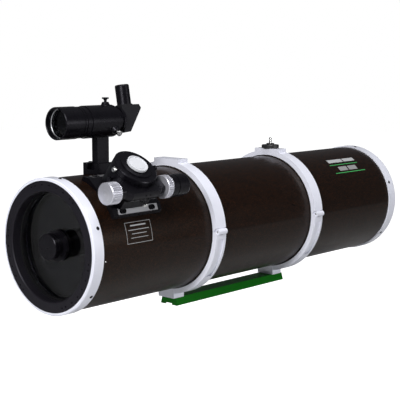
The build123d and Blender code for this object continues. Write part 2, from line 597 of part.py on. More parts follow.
def make_drawtube():
    place = focuser_place()
    collar_base = BODY_TOP + 0.5
    bottom = collar_base - DRAWTUBE_LENGTH
    tube = pipe(DRAWTUBE_R, EYEPIECE_2IN_R + 1.5, DRAWTUBE_LENGTH, bottom)
    save("drawtube", place * tube)
    outer = BODY_R
    collar = turned([(EYEPIECE_2IN_R, collar_base), (outer - 0.6, collar_base), (outer, collar_base + 0.6),
                     (outer, COLLAR_TOP - 1.2), (outer - 1.2, COLLAR_TOP), (EYEPIECE_2IN_R, COLLAR_TOP)])
    collar += pipe(EYEPIECE_2IN_R + 1.5 - SEAT, EYEPIECE_2IN_R, 20, collar_base - 20)
    middle = collar_base + COLLAR_HEIGHT / 2
    for angle in COLLAR_SCREW_ANGLES:
        spot = Plane(origin=(0, 0, middle), x_dir=(0, 0, 1),
                     z_dir=(cos(radians(angle)), sin(radians(angle)), 0)).location
        collar -= spot * rod(2.0 + SHAFT_GAP, outer + 2)
    save("two_inch_collar", place * collar)
    for number, angle in enumerate(COLLAR_SCREW_ANGLES, 1):
        spot = Plane(origin=(0, 0, middle), x_dir=(0, 0, 1),
                     z_dir=(cos(radians(angle)), sin(radians(angle)), 0)).location
        reach = outer - EYEPIECE_2IN_R + 1.0
        save(f"collar_thumbscrew_{number}",
             place * spot * Pos(0, 0, EYEPIECE_2IN_R + 0.3) * thumbscrew(2.0, reach, 4.4, 6.5, flutes=3))

    barrel_r = EYEPIECE_2IN_R - 0.08
    top = COLLAR_TOP + ADAPTER_FLANGE
    adapter = turned([(EYEPIECE_125_R, COLLAR_TOP - 22), (barrel_r, COLLAR_TOP - 22),
                      (barrel_r, COLLAR_TOP + 0.1), (ADAPTER_FLANGE_R + 3, COLLAR_TOP + 0.1),
                      (ADAPTER_FLANGE_R + 3, top), (EYEPIECE_125_R + 4, top), (EYEPIECE_125_R + 4, top + 1),
                      (EYEPIECE_125_R, top + 1)])
    save("eyepiece_adapter", place * adapter)
    cap_base = top + 1.3
    cap = rod(CAP_R, CAP_HEIGHT - 1, cap_base) + pipe(CAP_R, CAP_R - 2.2, CAP_HEIGHT, cap_base)
    cap += rod(EYEPIECE_125_R - 3, CAP_HEIGHT - 0.4, cap_base)
    cap += pipe(EYEPIECE_125_R - 0.3, EYEPIECE_125_R - 1.8, 12, cap_base - 11.5)
    save("dust_cap", place * cap)


def make_knobs():
    place = focuser_place()
    front_start = -HOUSING_FRONT - KNOB_GAP - FRONT_KNOB_LENGTH
    rear_start = HOUSING_REAR + KNOB_GAP
    fine_start = rear_start + REAR_KNOB_LENGTH + 0.5
    shaft_end = fine_start + 22
    shaft = shaft_rod(SHAFT_R, front_start + 3, shaft_end - front_start - 3)
    front = Plane(origin=(front_start, SHAFT_Y, SHAFT_Z), x_dir=(0, 1, 0), z_dir=(1, 0, 0)).location
    knob = fluted(FRONT_KNOB_R, FRONT_KNOB_LENGTH, 36, 0.9)
    cone = turned([(0, -2.2), (FRONT_KNOB_R - 1.2, 0), (FRONT_KNOB_R - 1.2, 1), (0, 1)])
    knob = front * (knob + cone - rod(SHAFT_R, FRONT_KNOB_LENGTH, 3))
    rear = Plane(origin=(rear_start, SHAFT_Y, SHAFT_Z), x_dir=(0, 1, 0), z_dir=(1, 0, 0)).location
    rear_knob = rear * (fluted(REAR_KNOB_R, REAR_KNOB_LENGTH, 40, 0.9) - rod(SHAFT_R, 40, -2))
    save("focus_shaft", place * shaft)
    save("coarse_focus_knobs", place * knob, place * rear_knob)
    fine = Plane(origin=(fine_start, SHAFT_Y, SHAFT_Z), x_dir=(0, 1, 0), z_dir=(1, 0, 0)).location
    length = FINE_KNOB_LENGTH
    edge = FINE_KNOB_R
    waist = edge - 1.2
    fine_knob = turned([(SHAFT_R + SHAFT_GAP, 0), (edge - 0.8, 0), (edge, 0.8), (edge, length * 0.3),
                        (waist, length * 0.3), (waist, length * 0.34), (edge, length * 0.34),
                        (edge, length - 6), (edge - 1.6, length - 2), (edge - 5, length), (0, length),
                        (0, 23), (SHAFT_R + SHAFT_GAP, 23)])
    save("fine_focus_knob", place * fine * fine_knob)


# ---------------------------------------------------------------- finder
SHIELD_R = FINDER_R + SHIELD_STEP
BRACKET_R = FINDER_R + BRACKET_ROOM + BRACKET_WALL
SHIELD_BACK = SHIELD_FRONT + SHIELD_LENGTH
LOCK_START = SHIELD_BACK + 0.6
BRACKET_START = LOCK_START + LOCK_RING_LENGTH + 0.6
BRACKET_END = BRACKET_START + BRACKET_LENGTH
AIM_DEPTH = BRACKET_END - 11.5
TUBE_END = BRACKET_END + 12.0
STALK_MIDDLE = BRACKET_START + BRACKET_LENGTH / 2 + 8
AIM_ANGLES = (90.0, 210.0)
PLUNGER_ANGLE = 330.0
SHOE_TOP = AXIS_Z + TUBE_R + SHOE_RISE
SHOE_FLOOR = SHOE_TOP - SHOE_SLOT_DEPTH


def along_finder(depth):
    return along(depth, 0, FINDER_Z)


def foot_section(grow):
    """Dovetail section of the bracket's foot, wider at the bottom, in the X-Z plane."""
    narrow = STALK_WIDTH / 2 + grow
    wide = narrow + 3
    top = SHOE_TOP + (2 if grow else 0)
    rise = SHOE_TOP - SHOE_FLOOR
    slope = narrow - (top - SHOE_TOP) * 3 / rise
    floor = SHOE_FLOOR - (0.3 if grow else 0)
    return [(-wide, floor), (wide, floor), (slope, top), (-slope, top)]


def foot_bar(grow, start, length):
    back = Plane(origin=(0, FRONT_Y + start, 0), x_dir=(1, 0, 0), z_dir=(0, -1, 0)).location
    return back * extrude(make_face(Polyline(foot_section(grow), close=True)), amount=-length)


def make_finder_mount():
    half = SHOE_WIDTH / 2
    start = STALK_MIDDLE - SHOE_LENGTH / 2
    shoe = world_block((-half, half), (start, start + SHOE_LENGTH), (AXIS_Z + TUBE_R * 0.7, SHOE_TOP))
    shoe -= along(start - 5) * rod(TUBE_R + SEAT, SHOE_LENGTH + 10)
    shoe -= foot_bar(SHOE_GAP, start - 1, SHOE_LENGTH + 2)
    screw_z = (SHOE_TOP + SHOE_FLOOR) / 2
    side = Plane(origin=(-half - 1, FRONT_Y + STALK_MIDDLE, screw_z), x_dir=(0, 1, 0), z_dir=(1, 0, 0))
    shoe -= side.location * rod(2.5 + SHAFT_GAP, half)
    save("finder_shoe", shoe)
    shank = half - STALK_WIDTH / 2 - 1.5
    tip = Plane(origin=(-half + shank - 1.2, FRONT_Y + STALK_MIDDLE, screw_z), x_dir=(0, 1, 0),
                z_dir=(-1, 0, 0)).location
    save("shoe_clamp_screw", tip * thumbscrew(2.5, shank, 6, 8))

    barrel = along_finder(BRACKET_START) * pipe(BRACKET_R, BRACKET_R - BRACKET_WALL, BRACKET_LENGTH)
    barrel += along_finder(BRACKET_START) * pipe(BRACKET_R, FINDER_R + 1.0, 3)
    depths = (STALK_MIDDLE - STALK_LENGTH / 2, STALK_MIDDLE + STALK_LENGTH / 2)
    half_stalk = STALK_WIDTH / 2
    stalk = world_block((-half_stalk, half_stalk), depths, (SHOE_TOP - 0.5, FINDER_Z - BRACKET_R + 3))
    stalk -= along_finder(BRACKET_START - 1) * rod(BRACKET_R - 1, BRACKET_LENGTH + 2)
    bracket = barrel + stalk + foot_bar(0, depths[0], STALK_LENGTH)
    boss_height = 5
    for angle in (*AIM_ANGLES, PLUNGER_ANGLE):
        spot = radial(angle, AIM_DEPTH, 0, FINDER_Z)
        boss = spot * turned([(0, BRACKET_R - 2.5), (9, BRACKET_R - 2.5), (5.5, BRACKET_R + boss_height),
                              (0, BRACKET_R + boss_height)])
        bracket += boss
    for angle in (*AIM_ANGLES, PLUNGER_ANGLE):
        bracket -= radial(angle, AIM_DEPTH, 0, FINDER_Z) * rod(AIM_SCREW_R + SHAFT_GAP, BRACKET_R + 20)
    bracket -= along_finder(BRACKET_START + 3) * rod(BRACKET_R - BRACKET_WALL, BRACKET_LENGTH)
    save("finder_bracket", bracket)

    reach = BRACKET_R + boss_height + 3 - FINDER_R
    for number, angle in enumerate(AIM_ANGLES, 1):
        spot = radial(angle, AIM_DEPTH, FINDER_R + 0.3, FINDER_Z)
        save(f"aim_screw_{number}", spot * thumbscrew(AIM_SCREW_R, reach, 6, 4.5))
    spot = radial(PLUNGER_ANGLE, AIM_DEPTH, FINDER_R + 0.3, FINDER_Z)
    save("spring_plunger", spot * thumbscrew(AIM_SCREW_R, reach, 5, 6))
    ring_start = BRACKET_START + 3 + SEAT
    o_ring = turned([(FINDER_R + 0.3, 1), (FINDER_R + 1, 0), (BRACKET_R - BRACKET_WALL - SEAT, 0),
                     (BRACKET_R - BRACKET_WALL - SEAT, 4), (FINDER_R + 1, 4), (FINDER_R + 0.3, 3)])
    save("finder_o_ring", along_finder(ring_start) * o_ring)


def make_finder_tube():
    inner = FINDER_R - FINDER_WALL
    front = SHIELD_FRONT + 18
    thread_r = FINDER_R + 1.5
    tube = turned([(inner, front), (thread_r, front), (thread_r, BRACKET_START - 0.6),
                   (FINDER_R, BRACKET_START - 0.6), (FINDER_R, TUBE_END), (FINDER_R + 2, TUBE_END),
                   (FINDER_R + 2, TUBE_END + 5), (inner, TUBE_END + 5)])
    save("finder_tube", along_finder(0) * tube)
    glass_back = front - 1
    hood_r = SHIELD_R - 2.2
    bore_r = thread_r + SHAFT_GAP
    shield = turned([(hood_r + 0.8, SHIELD_FRONT), (SHIELD_R - 0.6, SHIELD_FRONT),
                     (SHIELD_R, SHIELD_FRONT + 0.6), (SHIELD_R, SHIELD_BACK), (bore_r, SHIELD_BACK),
                     (bore_r, glass_back), (hood_r, glass_back), (hood_r, SHIELD_FRONT + 0.8)])
    save("finder_dew_shield", along_finder(0) * shield)
    glass_r = hood_r - SEAT
    curve = ThreePointArc((0, 0, glass_back - 7), (glass_r / 2, 0, glass_back - 6.4),
                          (glass_r, 0, glass_back - 4.5))
    edge = Line((glass_r, 0, glass_back - 4.5), (glass_r, 0, glass_back))
    flat = Line((glass_r, 0, glass_back), (0, 0, glass_back))
    axis = Line((0, 0, glass_back), (0, 0, glass_back - 7))
    glass = revolve(make_face([curve, edge, flat, axis]), Axis.Z)
    save("finder_objective", along_finder(0) * glass)
    outer = SHIELD_R - 0.8
    lock = pipe(outer, bore_r, LOCK_RING_LENGTH, LOCK_START)
    for offset in (3.0, 8.5):
        lock -= pipe(outer + 1, outer - 0.9, 2.2, LOCK_START + offset)
    save("finder_lock_ring", along_finder(0) * lock)


def make_right_angle_unit():
    """Prism housing and eyepiece behind the finder tube, rolled a little about its axis."""
    start = TUBE_END + 5 + SEAT
    roll = along_finder(0) * Rot(0, 0, PRISM_ROLL)
    side_view = Plane(origin=(-PRISM_WIDTH / 2, 0, 0), x_dir=(0, 0, 1), z_dir=(1, 0, 0)).location
    back = start + PRISM_LENGTH
    foot = start + PRISM_FOOT
    corners = [(start, -PRISM_BELOW), (foot, -PRISM_BELOW), (back, PRISM_ABOVE - 7),
               (back - 4, PRISM_ABOVE), (start, PRISM_ABOVE)]
    shell = side_view * extrude(make_face(Polyline(corners, close=True)), amount=PRISM_WIDTH)
    inside = start + PRISM_WALL
    floor = PRISM_WALL - PRISM_BELOW
    roof = PRISM_ABOVE - PRISM_WALL
    room = Polyline([(inside, floor), (foot - PRISM_WALL, floor), (back - PRISM_WALL * 3, roof),
                     (inside, roof)], close=True)
    hollow = extrude(make_face(room), amount=PRISM_WIDTH - PRISM_WALL * 2)
    shell -= side_view * Pos(0, 0, PRISM_WALL) * hollow
    shell -= rod(PRISM_WIDTH / 2 - 3, PRISM_WALL + 3, start - 1)
    centre = start + PRISM_LENGTH * 0.45
    up = Plane(origin=(0, 0, centre), x_dir=(1, 0, 0), z_dir=(0, -1, 0)).location
    shell -= up * rod(FINDER_EYEPIECE_R - 3, PRISM_ABOVE + 5)
    shell += up * pipe(FINDER_EYEPIECE_R + 2, FINDER_EYEPIECE_R - 3, 2.0, PRISM_ABOVE - 0.5)
    save("finder_prism_housing", roll * shell)
    base = PRISM_ABOVE + 1.5 + 0.3
    tube = turned([(FINDER_EYEPIECE_R - 2, base), (FINDER_EYEPIECE_R, base),
                   (FINDER_EYEPIECE_R, base + FINDER_EYEPIECE_LENGTH - 2),
                   (FINDER_EYEPIECE_R - 1, base + FINDER_EYEPIECE_LENGTH),
                   (FINDER_EYEPIECE_R - 3, base + FINDER_EYEPIECE_LENGTH),
                   (FINDER_EYEPIECE_R - 4, base + FINDER_EYEPIECE_LENGTH - 4),
                   (FINDER_EYEPIECE_R - 4, base + FINDER_EYEPIECE_LENGTH - 10),
                   (FINDER_EYEPIECE_R - 2, base + FINDER_EYEPIECE_LENGTH - 10)])
    save("finder_eyepiece", roll * up * tube)


# ---------------------------------------------------------------- primary mirror
def make_primary():
    plate_back = TUBE_LENGTH - END_PLATE_INSET + END_PLATE_THICKNESS
    plate_front = plate_back - END_PLATE_THICKNESS
    cell_back = plate_front - SPRING_SPACE
    cell_front = cell_back - MIRROR_CELL_THICKNESS
    mirror_back = cell_front - 2
    mirror_front = mirror_back - MIRROR_THICKNESS

    plate = pipe(BORE_R - SEAT, 14, END_PLATE_THICKNESS, plate_front)
    plate += pipe(BORE_R - SEAT, BORE_R - 6, TUBE_LENGTH - TRIM_FLANGE - plate_back, plate_back)
    for angle in COLLIMATION_ANGLES:
        vent = pipe(88, 30, 20, plate_front - 5) & (
            Rot(0, 0, -(angle + 60)) * block((0, 120), (-17, 17), (plate_front - 5, plate_back + 5)))
        plate -= vent
    bolt_hole = rod(COLLIMATION_SCREW_R + SHAFT_GAP, 20, plate_front - 5)
    plate -= sector_screws(bolt_hole, COLLIMATION_ANGLES, COLLIMATION_R, Location())
    lock_angles = [angle + 18 for angle in COLLIMATION_ANGLES]
    plate -= sector_screws(rod(2.2, 20, plate_front - 5), lock_angles, COLLIMATION_R, Location())
    save("mirror_end_plate", along(0) * plate)

    cell = pipe(MIRROR_CELL_R, 35, MIRROR_CELL_THICKNESS, cell_front)
    cell -= sector_screws(rod(COLLIMATION_SCREW_R + 1.2, 20, cell_front + 3), COLLIMATION_ANGLES,
                          COLLIMATION_R, Location())
    pads = sector_screws(rod(8, 2, mirror_back), [30, 150, 270], 55, Location())
    cell += pads
    save("mirror_cell", along(0) * cell)

    rim_front = mirror_front
    centre_front = mirror_front + MIRROR_SAG
    curve = ThreePointArc((0, 0, centre_front), (MIRROR_R / 2, 0, rim_front + MIRROR_SAG * 0.75),
                          (MIRROR_R, 0, rim_front))
    edge = Line((MIRROR_R, 0, rim_front), (MIRROR_R, 0, mirror_back - SEAT))
    flat = Line((MIRROR_R, 0, mirror_back - SEAT), (0, 0, mirror_back - SEAT))
    axis = Line((0, 0, mirror_back - SEAT), (0, 0, centre_front))
    mirror = revolve(make_face([curve, edge, flat, axis]), Axis.Z)
    save("primary_mirror", along(0) * mirror)

    post = block((MIRROR_R + 0.5, MIRROR_R + 4.5), (-7, 7), (rim_front - 2.5, cell_front - SEAT))
    hook = block((MIRROR_R - 6, MIRROR_R + 4.5), (-7, 7), (rim_front - 2.5, rim_front - 0.5))
    clips = [Rot(0, 0, angle) * (post + hook) for angle in (30, 150, 270)]
    save("mirror_clips", [along(0) * clip for clip in clips])

    coil_r = 7.0
    wire_r = 0.9
    free = SPRING_SPACE - 5
    path = Helix(pitch=free / 4, height=free, radius=coil_r)
    section = Plane(origin=path @ 0, z_dir=path % 0) * Circle(wire_r)
    spring = sweep(section, path=path)
    spring = Pos(0, 0, plate_front - free - 1.2) * spring
    save("collimation_springs", sector_screws(spring, COLLIMATION_ANGLES, COLLIMATION_R, along(0)))

    length = plate_back - cell_back + 3
    knob = Pos(0, 0, plate_back + 0.3) * fluted(COLLIMATION_KNOB_R, 11, 16, 1.2)
    bolt = knob + rod(COLLIMATION_SCREW_R, length + 1, plate_back - length)
    for number, angle in enumerate(COLLIMATION_ANGLES, 1):
        save(f"collimation_knob_{number}", sector_screws(bolt, [angle], COLLIMATION_R, along(0)))
    lock = rod(2.0, 22, plate_back - 20) + rod(3.8, 3, plate_back + SEAT)
    save("mirror_lock_screws", sector_screws(lock, lock_angles, COLLIMATION_R, along(0)))


def main():
    os.makedirs("parts", exist_ok=True)
    make_bar()
    make_rings()
    make_tube()
    make_end_rings()
    make_corrector()
    make_secondary()
    make_focuser_base()
    make_focuser_body()
    make_drawtube()
    make_knobs()
    make_finder_mount()
    make_finder_tube()
    make_right_angle_unit()
    make_primary()


main()
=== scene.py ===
# %% [markdown]
# # A short reflecting telescope in its rings
# The measured model gives every metal, glass and plastic part its true shape and place.
# This lesson gives each of them a finish, adds the printed graphics and the finest details that a
# solid model doesn't carry, and sets up a plain studio around it. Nothing measured is moved.

import math

import bmesh
import bpy
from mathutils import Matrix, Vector


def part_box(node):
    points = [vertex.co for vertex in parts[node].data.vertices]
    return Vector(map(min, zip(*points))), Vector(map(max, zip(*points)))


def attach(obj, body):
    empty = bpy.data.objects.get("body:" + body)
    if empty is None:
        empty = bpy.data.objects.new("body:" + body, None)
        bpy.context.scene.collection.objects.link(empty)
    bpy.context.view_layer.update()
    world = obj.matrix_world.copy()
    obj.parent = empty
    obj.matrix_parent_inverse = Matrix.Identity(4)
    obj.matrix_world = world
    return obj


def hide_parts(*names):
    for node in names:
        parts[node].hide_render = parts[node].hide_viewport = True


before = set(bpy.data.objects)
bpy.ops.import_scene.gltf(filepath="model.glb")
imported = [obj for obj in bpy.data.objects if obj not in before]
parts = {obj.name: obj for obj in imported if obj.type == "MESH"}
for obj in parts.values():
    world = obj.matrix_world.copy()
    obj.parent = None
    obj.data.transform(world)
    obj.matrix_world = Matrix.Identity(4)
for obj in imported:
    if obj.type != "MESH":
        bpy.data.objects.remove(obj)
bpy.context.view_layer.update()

# %% [markdown]
# The tube is the datum for everything that is printed on it or fixed to it. Its box gives the axis
# height and the radius, and the front trim ring gives where the telescope starts. Angles round
# the tube are counted from +X, the focuser's side, towards the top.

# %% Find the tube's axis and front
tube_low, tube_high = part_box("main_tube")
TUBE_RADIUS = (tube_high.x - tube_low.x) / 2
AXIS_HEIGHT = (tube_high.z + tube_low.z) / 2
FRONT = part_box("front_trim_ring")[0].y
print("tube radius", round(TUBE_RADIUS, 4), "axis height", round(AXIS_HEIGHT, 4))


def on_tube(depth, angle, lift=0.0):
    """A point on the tube's skin at a depth behind the front face and an angle in degrees."""
    radius = TUBE_RADIUS + lift
    turn = math.radians(angle)
    return Vector((radius * math.cos(turn), FRONT + depth, AXIS_HEIGHT + radius * math.sin(turn)))


def circle(radius, sides):
    """Even steps round a circle, as pairs of distances from its centre."""
    return [(radius * math.cos(2 * math.pi * i / sides), radius * math.sin(2 * math.pi * i / sides))
            for i in range(sides)]


# %% [markdown]
# ## Shared effects
# A finish on a real instrument is never one flat value: paint ripples slightly, turned metal keeps
# the tool's rings, cast parts have a skin like fine sand, and hands leave faint smears. Each of
# these is a node group, made once, that puts out masks and heights. The shader itself stays in
# each material, where its constant values are easy to find.

# %% Start a shader group with named sockets
def start_group(name, inputs, outputs):
    group = bpy.data.node_groups.new(name, "ShaderNodeTree")
    for label, kind, value in inputs:
        socket = group.interface.new_socket(label, in_out="INPUT", socket_type=kind)
        socket.default_value = value
    for label, kind in outputs:
        group.interface.new_socket(label, in_out="OUTPUT", socket_type=kind)
    return group, group.nodes.new("NodeGroupInput"), group.nodes.new("NodeGroupOutput")


def add(tree, kind, **settings):
    """A node of one kind, with its properties and unlinked sockets set by name."""
    node = tree.nodes.new(kind)
    for key, value in settings.items():
        if key in node.inputs:
            node.inputs[key].default_value = value
        else:
            setattr(node, key, value)
    return node


def spread(tree, value, low, high):
    """Maps a zero-to-one value to the range from low to high."""
    node = add(tree, "ShaderNodeMapRange")
    node.inputs["To Min"].default_value = low
    node.inputs["To Max"].default_value = high
    tree.links.new(value, node.inputs["Value"])
    return node.outputs["Result"]


# %% Handling: broad soft patches of smear and dust
handling, gate, result = start_group(
    "Handling",
    [("Scale", "NodeSocketFloat", 12.0), ("Streak", "NodeSocketFloat", 3.0)],
    [("Patches", "NodeSocketFloat"), ("Smears", "NodeSocketFloat")],
)
place = add(handling, "ShaderNodeTexCoord")
broad = add(handling, "ShaderNodeTexNoise", Detail=5.0, Roughness=0.6)
smear = add(handling, "ShaderNodeTexNoise", Detail=8.0, Roughness=0.7, Distortion=1.2)
finer = add(handling, "ShaderNodeMath", operation="MULTIPLY")
handling.links.new(place.outputs["Object"], broad.inputs["Vector"])
handling.links.new(place.outputs["Object"], smear.inputs["Vector"])
handling.links.new(gate.outputs["Scale"], broad.inputs["Scale"])
handling.links.new(gate.outputs["Scale"], finer.inputs[0])
handling.links.new(gate.outputs["Streak"], finer.inputs[1])
handling.links.new(finer.outputs[0], smear.inputs["Scale"])
handling.links.new(broad.outputs["Fac"], result.inputs["Patches"])
handling.links.new(smear.outputs["Fac"], result.inputs["Smears"])
print("group:", handling.name)

# %% Grain: the fine skin of blasted, cast or moulded surfaces
grain, gate, result = start_group(
    "Grain",
    [("Scale", "NodeSocketFloat", 2500.0)],
    [("Height", "NodeSocketFloat")],
)
place = add(grain, "ShaderNodeTexCoord")
pits = add(grain, "ShaderNodeTexNoise", Detail=3.0, Roughness=0.65)
grain.links.new(place.outputs["Object"], pits.inputs["Vector"])
grain.links.new(gate.outputs["Scale"], pits.inputs["Scale"])
grain.links.new(pits.outputs["Fac"], result.inputs["Height"])
print("group:", grain.name)

# %% Tool lines: rings left by a lathe or lines left by a die
tool_lines, gate, result = start_group(
    "Tool lines",
    [("Stretch", "NodeSocketVector", (15.0, 2600.0, 15.0))],
    [("Height", "NodeSocketFloat"), ("Lines", "NodeSocketFloat")],
)
place = add(tool_lines, "ShaderNodeTexCoord")
stretch = add(tool_lines, "ShaderNodeVectorMath", operation="MULTIPLY")
rings = add(tool_lines, "ShaderNodeTexNoise", Scale=1.0, Detail=4.0, Roughness=0.7)
contrast = add(tool_lines, "ShaderNodeMapRange")
contrast.inputs["From Min"].default_value = 0.3
contrast.inputs["From Max"].default_value = 0.7
tool_lines.links.new(place.outputs["Object"], stretch.inputs[0])
tool_lines.links.new(gate.outputs["Stretch"], stretch.inputs[1])
tool_lines.links.new(stretch.outputs["Vector"], rings.inputs["Vector"])
tool_lines.links.new(rings.outputs["Fac"], contrast.inputs["Value"])
tool_lines.links.new(rings.outputs["Fac"], result.inputs["Height"])
tool_lines.links.new(contrast.outputs["Result"], result.inputs["Lines"])
print("group:", tool_lines.name)

# %% Flake: tiny bright platelets under a clear coat
flake, gate, result = start_group(
    "Flake",
    [("Scale", "NodeSocketFloat", 1500.0), ("Share", "NodeSocketFloat", 0.12)],
    [("Sparkle", "NodeSocketFloat")],
)
place = add(flake, "ShaderNodeTexCoord")
platelets = add(flake, "ShaderNodeTexVoronoi", feature="F1")
chance = add(flake, "ShaderNodeSeparateColor")
chosen = add(flake, "ShaderNodeMath", operation="LESS_THAN")
flake.links.new(place.outputs["Object"], platelets.inputs["Vector"])
flake.links.new(gate.outputs["Scale"], platelets.inputs["Scale"])
flake.links.new(platelets.outputs["Color"], chance.inputs["Color"])
flake.links.new(chance.outputs["Red"], chosen.inputs[0])
flake.links.new(gate.outputs["Share"], chosen.inputs[1])
flake.links.new(chosen.outputs[0], result.inputs["Sparkle"])
print("group:", flake.name)


# %% [markdown]
# ## Finishes
# One helper starts a material with a Principled shader and its constant values. The others place
# an effect group in it and join it to colour, roughness or bump. Heights are in metres, so a bump
# distance of 0.00002 is a ripple of two hundredths of a millimetre. Two of them work together
# where one part has two finishes: the distance from the tube's axis makes a mask, and a flat
# paint covers whatever the mask picks.

# %% Helpers for building a finish
def start_finish(name, colour, roughness, metallic=0.0, **constants):
    material = bpy.data.materials.new(name)
    material.use_nodes = True
    tree = material.node_tree
    shader = tree.nodes["Principled BSDF"]
    shader.inputs["Base Color"].default_value = (*colour, 1.0)
    shader.inputs["Roughness"].default_value = roughness
    shader.inputs["Metallic"].default_value = metallic
    for label, value in constants.items():
        shader.inputs[label.replace("_", " ")].default_value = value
    return material, tree, shader


def place_group(tree, group, **values):
    node = tree.nodes.new("ShaderNodeGroup")
    node.node_tree = group
    for label, value in values.items():
        node.inputs[label].default_value = value
    return node


def blend_colours(tree, mask, dark, light):
    """A colour between two, chosen by a zero-to-one mask."""
    mix = add(tree, "ShaderNodeMix", data_type="RGBA")
    mix.inputs["A"].default_value = (*dark, 1.0)
    mix.inputs["B"].default_value = (*light, 1.0)
    tree.links.new(mask, mix.inputs["Factor"])
    return mix.outputs["Result"]


def raise_bumps(tree, shader, height, distance, strength):
    bump = add(tree, "ShaderNodeBump", Strength=strength, Distance=distance)
    tree.links.new(height, bump.inputs["Height"])
    tree.links.new(bump.outputs["Normal"], shader.inputs["Normal"])


def scaled(colour, factor):
    return tuple(min(1.0, channel * factor) for channel in colour)


def mottle(tree, shader, mask, colour, darkest, lightest):
    """Lets a mask move the base colour between two multiples of one colour."""
    tone = blend_colours(tree, mask, scaled(colour, darkest), scaled(colour, lightest))
    tree.links.new(tone, shader.inputs["Base Color"])


def vary_roughness(tree, shader, mask, low, high):
    tree.links.new(spread(tree, mask, low, high), shader.inputs["Roughness"])


def compare_with_radius(tree, operation, radius):
    """A mask that is one where a point is nearer to the tube's axis, or farther from it."""
    where = add(tree, "ShaderNodeTexCoord")
    centred = add(tree, "ShaderNodeVectorMath", operation="SUBTRACT")
    centred.inputs[1].default_value = (0.0, 0.0, AXIS_HEIGHT)
    across = add(tree, "ShaderNodeVectorMath", operation="MULTIPLY")
    across.inputs[1].default_value = (1.0, 0.0, 1.0)
    distance = add(tree, "ShaderNodeVectorMath", operation="LENGTH")
    mask = add(tree, "ShaderNodeMath", operation=operation)
    mask.inputs[1].default_value = radius
    tree.links.new(where.outputs["Object"], centred.inputs[0])
    tree.links.new(centred.outputs["Vector"], across.inputs[0])
    tree.links.new(across.outputs["Vector"], distance.inputs[0])
    tree.links.new(distance.outputs["Value"], mask.inputs[0])
    return mask.outputs[0]


def paint_over(tree, shader, mask, colour, roughness):
    """Where the mask is one, a flat paint takes the place of what already feeds the shader."""
    for label, kind, value in (("Base Color", "RGBA", (*colour, 1.0)),
                               ("Roughness", "FLOAT", roughness)):
        beneath = shader.inputs[label].links[0].from_socket
        painted = add(tree, "ShaderNodeMix", data_type=kind)
        painted.inputs["B"].default_value = value
        tree.links.new(mask, painted.inputs["Factor"])
        tree.links.new(beneath, painted.inputs["A"])
        tree.links.new(painted.outputs["Result"], shader.inputs[label])


def dress(material, *names):
    """Puts a finish on measured parts."""
    for name in names:
        slots = parts[name].data.materials
        slots.clear()
        slots.append(material)


# %% [markdown]
# ### The tube's black lacquer
# The steel tube is sprayed nearly black with a little red-brown flake, then clear-coated. Inside it
# is flat black, to swallow stray light. One material does both: the distance from the axis
# tells the inner wall from the outer skin.

# %% Tube lacquer
BLACK_BROWN = (0.0030, 0.0019, 0.0015)
FLAKE_BROWN = (0.042, 0.015, 0.006)
INSIDE_BLACK = (0.004, 0.004, 0.004)
SKIN_DEPTH = 0.0006
lacquer, tree, shader = start_finish(
    "Black lacquer with brown flake", BLACK_BROWN, 0.3, Specular_IOR_Level=0.12,
    Specular_Tint=(1.0, 0.80, 0.66, 1.0), Coat_Weight=0.14, Coat_Roughness=0.07, Coat_IOR=1.4,
)
sparkles = place_group(tree, flake, Scale=1700.0, Share=0.16)
smears = place_group(tree, handling, Scale=6.0, Streak=5.0)
outer = blend_colours(tree, sparkles.outputs["Sparkle"], BLACK_BROWN, FLAKE_BROWN)
tree.links.new(outer, shader.inputs["Base Color"])
vary_roughness(tree, shader, smears.outputs["Smears"], low=0.2, high=0.42)
inside = compare_with_radius(tree, "LESS_THAN", TUBE_RADIUS - SKIN_DEPTH)
paint_over(tree, shader, inside, INSIDE_BLACK, roughness=0.95)
raise_bumps(tree, shader, smears.outputs["Patches"], distance=0.0004, strength=0.12)
dress(lacquer, "main_tube")

# %% [markdown]
# ### White enamel
# The rings are cast aluminium under a thick, cool white enamel. It is glossy, with the faint
# ripple called orange peel, and it holds a little grey dust.

# %% White enamel for the rings
ENAMEL = (0.78, 0.79, 0.88)
enamel, tree, shader = start_finish(
    "Cool white enamel", ENAMEL, 0.28, Coat_Weight=0.4, Coat_Roughness=0.12,
)
peel = place_group(tree, grain, Scale=420.0)
dust = place_group(tree, handling, Scale=14.0, Streak=4.0)
mottle(tree, shader, dust.outputs["Patches"], ENAMEL, darkest=0.93, lightest=1.05)
vary_roughness(tree, shader, dust.outputs["Smears"], low=0.2, high=0.4)
raise_bumps(tree, shader, peel.outputs["Height"], distance=0.00006, strength=0.35)
dress(enamel, "front_ring_lower", "front_ring_upper", "rear_ring_lower", "rear_ring_upper",
      "front_trim_ring", "rear_trim_ring")

# %% [markdown]
# ### Blasted black anodising
# The focuser, the finder and the front cell are aluminium, blasted and dyed black. The skin is
# satin, with a fine grain, and slightly blue where light skims it. The finder's prism
# box is a die casting with a much coarser grain. They share one recipe with different values.

# %% Black anodised metal, fine and coarse
def black_metal(name, colour, roughness, grain_scale, grain_depth):
    material, tree, shader = start_finish(
        name, colour, roughness, Specular_IOR_Level=0.2, Specular_Tint=(0.90, 0.88, 1.0, 1.0))
    skin = place_group(tree, grain, Scale=grain_scale)
    worn = place_group(tree, handling, Scale=25.0, Streak=4.0)
    mottle(tree, shader, worn.outputs["Patches"], colour, darkest=0.75, lightest=1.3)
    vary_roughness(tree, shader, worn.outputs["Smears"], roughness - 0.08, roughness + 0.12)
    raise_bumps(tree, shader, skin.outputs["Height"], grain_depth, strength=0.5)
    return material


